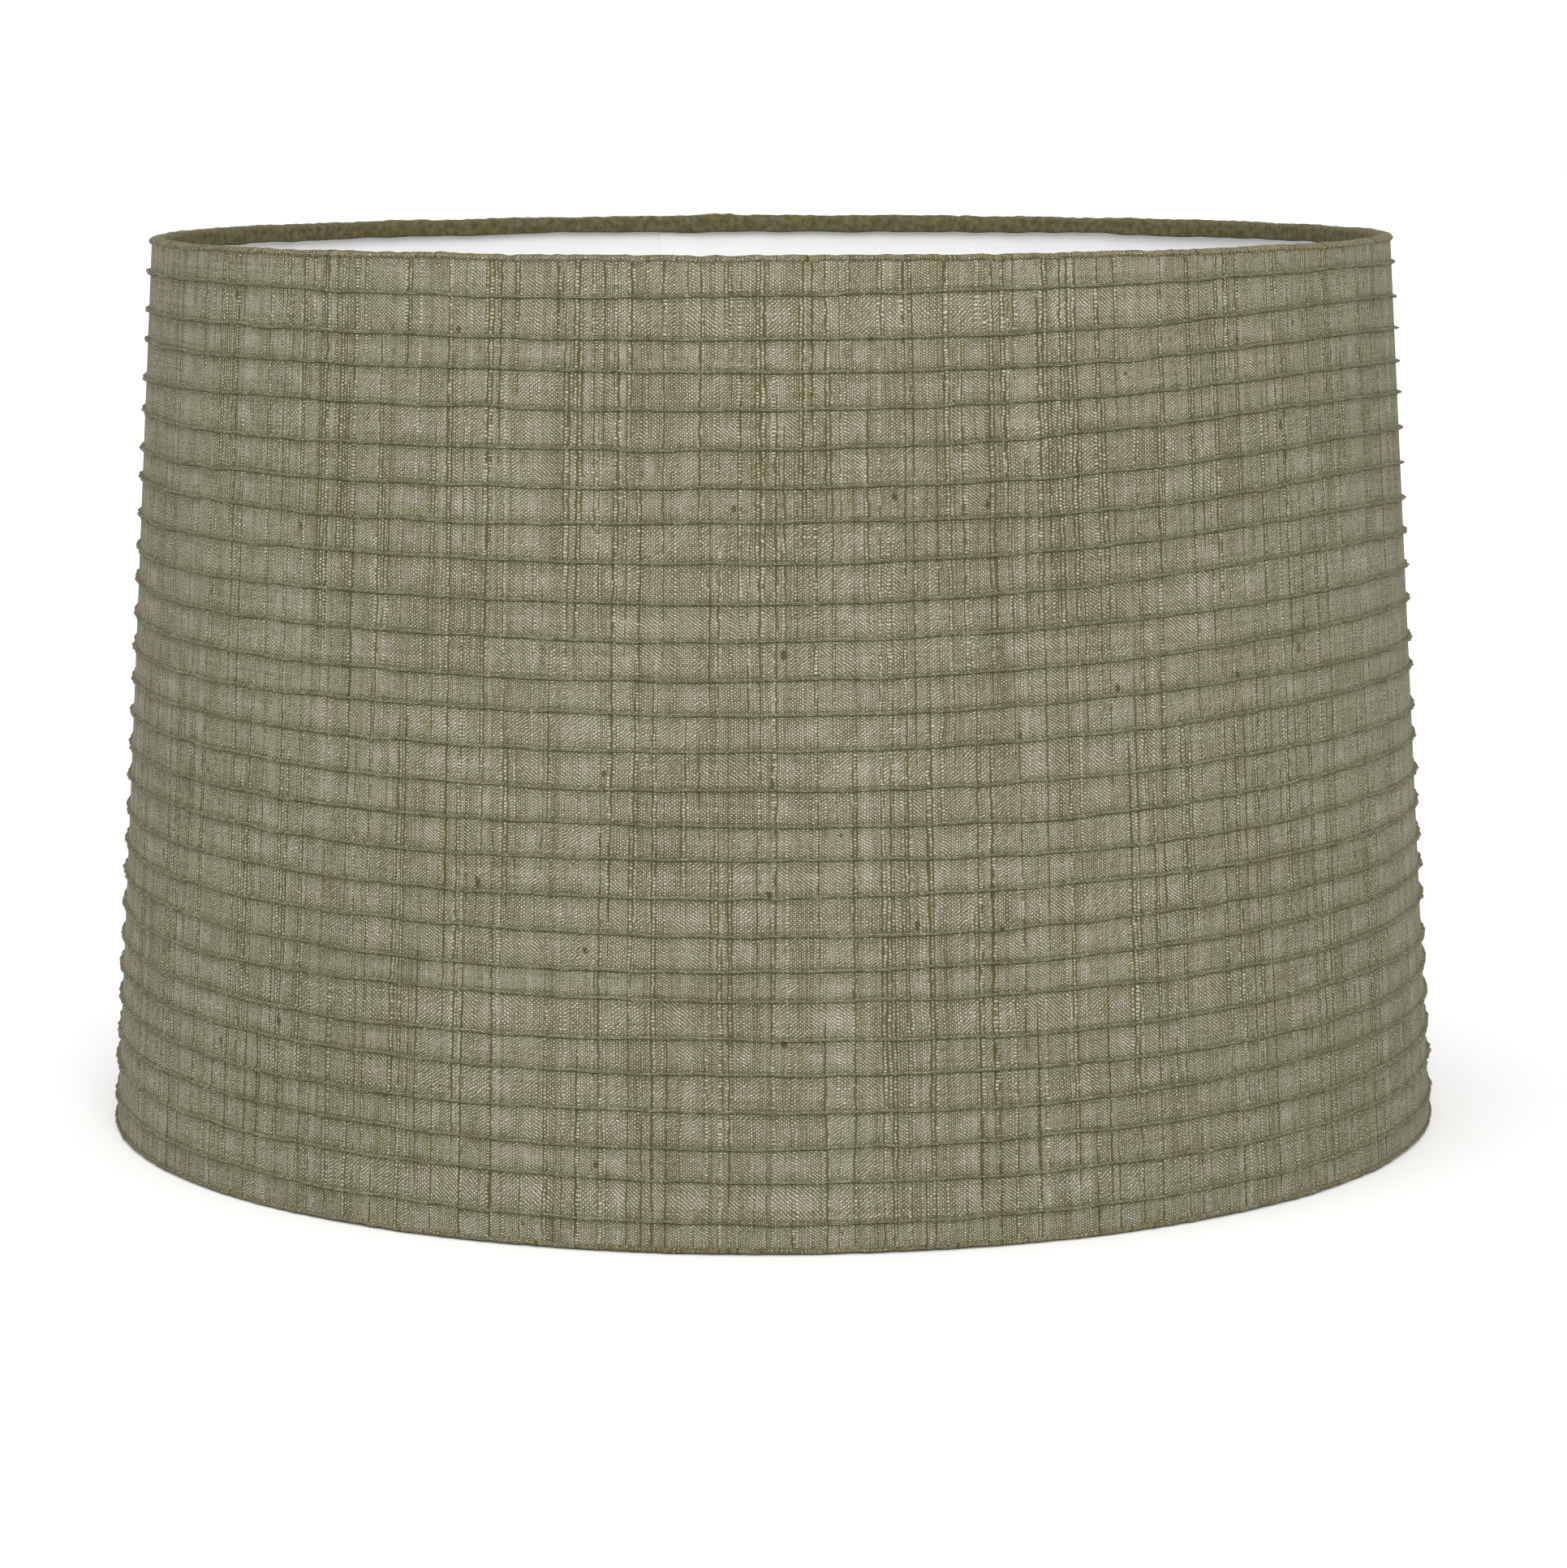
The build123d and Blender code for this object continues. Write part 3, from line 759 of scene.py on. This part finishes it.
def slub_silk():
    """The cover's silk, with painted shadows along the sewn lines below and above each tuck, and painted
    sheen on the flat cloth.
    """
    graph = Graph("slub_silk")
    u, v = cloth_place(graph)
    lower, upper = graph.mark("lower_line"), graph.mark("upper_line")
    ridge = graph.step(graph.mark("fold"), *RIDGE_FOLD)
    tone, height, slub = silk_weave(graph, u, v, ridge, graph.math("SUBTRACT", lower, RIDGE_START))
    # The sewn lines' places are jittered, so the painted shadows under and over each tuck have ragged
    # edges.
    ragged = graph.times(patches(graph, u, v, SEWN_LINE_JITTER), SEWN_LINE_JITTER_SHIFT)
    lower = graph.add(lower, ragged)
    upper = graph.add(upper, ragged)
    # Painted shadow: the tone is darkened under each tuck, over it and all round it.
    lit = graph.math("SUBTRACT", 1.0, sewn_shadows(graph, u, v, lower, upper))
    tone = graph.math("MULTIPLY", tone, lit, clamp=True)
    # Painted sheen: paler, greyer patches on the flat cloth between the tucks.
    sheen = painted_sheen(graph, u, v, lower, upper, slub)
    deep = graph.mix(sheen, SILK_DEEP, SILK_DEEP_SHEEN)
    pale = graph.mix(sheen, SILK_PALE, SILK_SHEEN)
    nep = neps(graph, u, v)
    colour = graph.mix(graph.times(nep, NEP_COVER), graph.mix(tone, deep, pale), SILK_NEP)
    graph.bump(graph.add(height, graph.times(nep, NEP_HEIGHT)), WEAVE_BUMP, WEAVE_BUMP_STRENGTH)
    roughness = graph.ramp(tone, SILK_ROUGHNESS, SILK_BRIGHT_ROUGHNESS)
    return graph.finish(colour, roughness, specular_ior_level=SILK_SPECULAR)


def trim_silk():
    """The trims' silk, brushed flat and darker where it faces inside."""
    graph = Graph("trim_silk")
    u, v = cloth_place(graph)
    weave, height, _ = silk_weave(graph, u, v)
    inside = graph.step(graph.mark("inside"), *TRIM_FACES_INSIDE)
    mottle = graph.noise(graph.vector(u, v, 9.0), scale=0.45, detail=4.0, roughness=0.6)
    brushed = graph.add(
        graph.step(mottle, *TRIM_MOTTLE_EDGE, *TRIM_INSIDE_TONES),
        graph.times(patches(graph, u, v, BRUSHED), TRIM_INSIDE_STREAK),
        graph.times(weave, TRIM_INSIDE_WEAVE),
    )
    tone = graph.mix_value(inside, graph.times(weave, TRIM_OUTSIDE_TONE), brushed)
    tone = graph.math("MULTIPLY", tone, 1.0, clamp=True)
    stain = graph.noise(graph.vector(u, v, 15.0), scale=0.16, detail=3.0, roughness=0.6)
    pale = graph.mix(graph.step(stain, *TRIM_STAIN_EDGE), SILK_PALE, SILK_WARM)
    height = graph.add(height, graph.times(mottle, TRIM_MOTTLE_HEIGHT))
    graph.bump(height, WEAVE_BUMP, WEAVE_BUMP_STRENGTH)
    colour = graph.mix(tone, SILK_DEEP, pale)
    return graph.finish(colour, SILK_ROUGHNESS, specular_ior_level=SILK_SPECULAR)


# ============================================================================================
# The other materials. A noise's scale is in waves a metre
# ============================================================================================
LAMINATE_WHITE = [0.87, 0.87, 0.865, 1.0]
LAMINATE_HANDLED = [0.84, 0.84, 0.83, 1.0]
COAT_WHITE = [0.56, 0.56, 0.55, 1.0]
COAT_THIN = [0.45, 0.45, 0.43, 1.0]
ZINC_BRIGHT = [0.55, 0.55, 0.55, 1.0]
ZINC_WORN = [0.36, 0.36, 0.38, 1.0]
PLASTIC_WHITE = [0.60, 0.60, 0.57, 1.0]
PLASTIC_FLOW = [0.53, 0.53, 0.50, 1.0]
TAPE_CLEAR = [0.80, 0.79, 0.74, 1.0]
TAPE_CLOUDY = [0.62, 0.60, 0.53, 1.0]
PAPER_WHITE = [0.985, 0.985, 0.985, 1.0]
PAPER_GREY = [0.97, 0.97, 0.97, 1.0]


def object_place(graph):
    """Where a point is on its own piece, in metres."""
    return graph.node("ShaderNodeTexCoord").outputs["Object"]


def laminate():
    """The liner's satin white sheet, with a fine grain and faint handling marks."""
    graph = Graph("laminate")
    place = object_place(graph)
    grain = graph.noise(place, scale=2500.0, detail=3.0)
    cloud = graph.noise(place, scale=28.0, detail=4.0, roughness=0.6)
    wave = graph.noise(place, scale=9.0, detail=1.0)
    colour = graph.mix(graph.step(cloud, 0.35, 0.7), LAMINATE_WHITE, LAMINATE_HANDLED)
    graph.bump(graph.add(graph.times(grain, 0.02), wave), 0.4 * MM, 0.5)
    return graph.finish(colour, graph.ramp(cloud, 0.34, 0.56), specular_ior_level=0.45)


def coated_wire():
    """White powder coat: orange peel, and a thinner, greyer skin in places."""
    graph = Graph("coated_wire")
    place = object_place(graph)
    peel = graph.noise(place, scale=1400.0, detail=2.0)
    worn = graph.noise(place, scale=160.0, detail=4.0, roughness=0.65)
    colour = graph.mix(graph.step(worn, 0.5, 0.75), COAT_WHITE, COAT_THIN)
    graph.bump(graph.add(peel, graph.times(worn, 0.6)), 0.06 * MM, 0.7)
    return graph.finish(colour, graph.ramp(worn, 0.22, 0.47), coat_weight=0.15, coat_roughness=0.2)


def plated_steel():
    """Zinc plate: a crystalline mottle, and duller where it is worn."""
    graph = Graph("plated_steel")
    place = object_place(graph)
    crystals = graph.node("ShaderNodeTexVoronoi")
    graph.feed(crystals.inputs["Vector"], place)
    crystals.inputs["Scale"].default_value = 1300.0
    worn = graph.noise(place, scale=420.0, detail=4.0, roughness=0.7)
    colour = graph.mix(worn, ZINC_BRIGHT, ZINC_WORN)
    roughness = graph.add(graph.ramp(worn, 0.22, 0.42), graph.times(crystals.outputs["Distance"], 0.12))
    graph.bump(crystals.outputs["Distance"], 0.03 * MM, 0.5)
    return graph.finish(colour, roughness, metallic=1.0)


def white_plastic():
    """Moulded plastic: a fine spark-eroded grain and slight flow marks."""
    graph = Graph("white_plastic")
    place = object_place(graph)
    grain = graph.noise(place, scale=3200.0, detail=3.0)
    flow = graph.noise(place, scale=120.0, detail=3.0)
    graph.bump(graph.add(graph.times(grain, 0.5), flow), 0.05 * MM, 0.6)
    colour = graph.mix(flow, PLASTIC_WHITE, PLASTIC_FLOW)
    return graph.finish(colour, graph.ramp(grain, 0.34, 0.54), specular_ior_level=0.5)


def tape():
    """Double-sided tape: cloudy adhesive over fine fibres."""
    graph = Graph("tape")
    place = object_place(graph)
    fibre = graph.noise(place, scale=900.0, detail=4.0)
    cloud = graph.noise(place, scale=70.0, detail=3.0)
    colour = graph.mix(graph.times(fibre, cloud), TAPE_CLEAR, TAPE_CLOUDY)
    graph.bump(fibre, 0.03 * MM, 0.6)
    return graph.finish(colour, 0.55)


def studio_paper():
    """The floor's matt white paper."""
    graph = Graph("studio_paper")
    mottle = graph.noise(object_place(graph), scale=40.0, detail=3.0)
    return graph.finish(graph.mix(mottle, PAPER_WHITE, PAPER_GREY), 0.9, specular_ior_level=0.1)


def dress(piece, material):
    piece.data.materials.clear()
    piece.data.materials.append(material)


# ============================================================================================
# Stage, light and camera
# ============================================================================================
FLOOR_RADIUS = 30.0
FLOOR_LEVEL = -0.1 * MM

WORLD_STRENGTH = 1.03
# Each softbox's name, place, size and power. They all face the middle of the shade.
SOFTBOXES = [
    ("key_light", (0.30, -2.45, 1.4), 1.2, 34.0),
    ("top_light", (-0.7, -0.6, 2.4), 1.6, 8.0),
]

SHARP_FILTER = 1.3
SENSOR = 36.0
LENS = 111.64
CAMERA_PLACE = (0.0031, -1.3935, 0.2967)
CAMERA_PITCH = math.radians(8.31)
CAMERA_ROLL = -0.0026


def studio_floor():
    """A wide pale floor."""
    mesh = bpy.data.meshes.new("studio_floor")
    corners = [(-1, -1), (1, -1), (1, 1), (-1, 1)]
    points = [(x * FLOOR_RADIUS, y * FLOOR_RADIUS, FLOOR_LEVEL) for x, y in corners]
    mesh.from_pydata(points, [], [(0, 1, 2, 3)])
    floor = bpy.data.objects.new("studio_floor", mesh)
    bpy.context.scene.collection.objects.link(floor)
    dress(floor, studio_paper())


def softbox(name, place, size, power):
    """A square area light that faces the middle of the shade."""
    light = bpy.data.lights.new(name, "AREA")
    light.shape = "SQUARE"
    light.size = size
    light.energy = power
    lamp = bpy.data.objects.new(name, light)
    lamp.location = place
    aim = Vector((0.0, 0.0, HEIGHT / 2)) - Vector(place)
    lamp.rotation_euler = aim.to_track_quat("-Z", "Y").to_euler()
    bpy.context.scene.collection.objects.link(lamp)


def studio_light():
    world = bpy.data.worlds.new("studio")
    world.use_nodes = True
    background = world.node_tree.nodes["Background"]
    background.inputs["Color"].default_value = (1.0, 1.0, 1.0, 1.0)
    background.inputs["Strength"].default_value = WORLD_STRENGTH
    bpy.context.scene.world = world
    for name, place, size, power in SOFTBOXES:
        softbox(name, place, size, power)


def studio_camera():
    data = bpy.data.cameras.new("camera")
    data.lens = LENS
    data.sensor_width = SENSOR
    data.dof.use_dof = False
    camera = bpy.data.objects.new("camera", data)
    turn = Matrix.Rotation(math.pi / 2 - CAMERA_PITCH, 4, "X") @ Matrix.Rotation(CAMERA_ROLL, 4, "Z")
    camera.matrix_world = Matrix.Translation(CAMERA_PLACE) @ turn
    bpy.context.scene.collection.objects.link(camera)
    bpy.context.scene.camera = camera


# ============================================================================================
# Putting it together
# ============================================================================================
scene = bpy.context.scene
scene.view_settings.view_transform = "Standard"
scene.view_settings.look = "None"
scene.cycles.filter_width = SHARP_FILTER
scene.cycles.denoising_prefilter = "NONE"  # the denoiser otherwise smooths the weave away

studio_camera()
studio_light()
studio_floor()

dress(cover_cloth(), slub_silk())
TRIM_MATERIAL = trim_silk()
dress(trim_cloth("top_trim_cloth", "top_trim", True), TRIM_MATERIAL)
dress(trim_cloth("bottom_trim_cloth", "bottom_trim", False), TRIM_MATERIAL)

FINISHES = {
    "laminate": laminate(),
    "tape": tape(),
    "coated_wire": coated_wire(),
    "plated_steel": plated_steel(),
    "white_plastic": white_plastic(),
}
for subpart in frame["record"]["subparts"]:
    finish = FINISHES.get(subpart["material_slot"])
    if finish is not None:
        dress(frame["nodes"][subpart["node"]], finish)
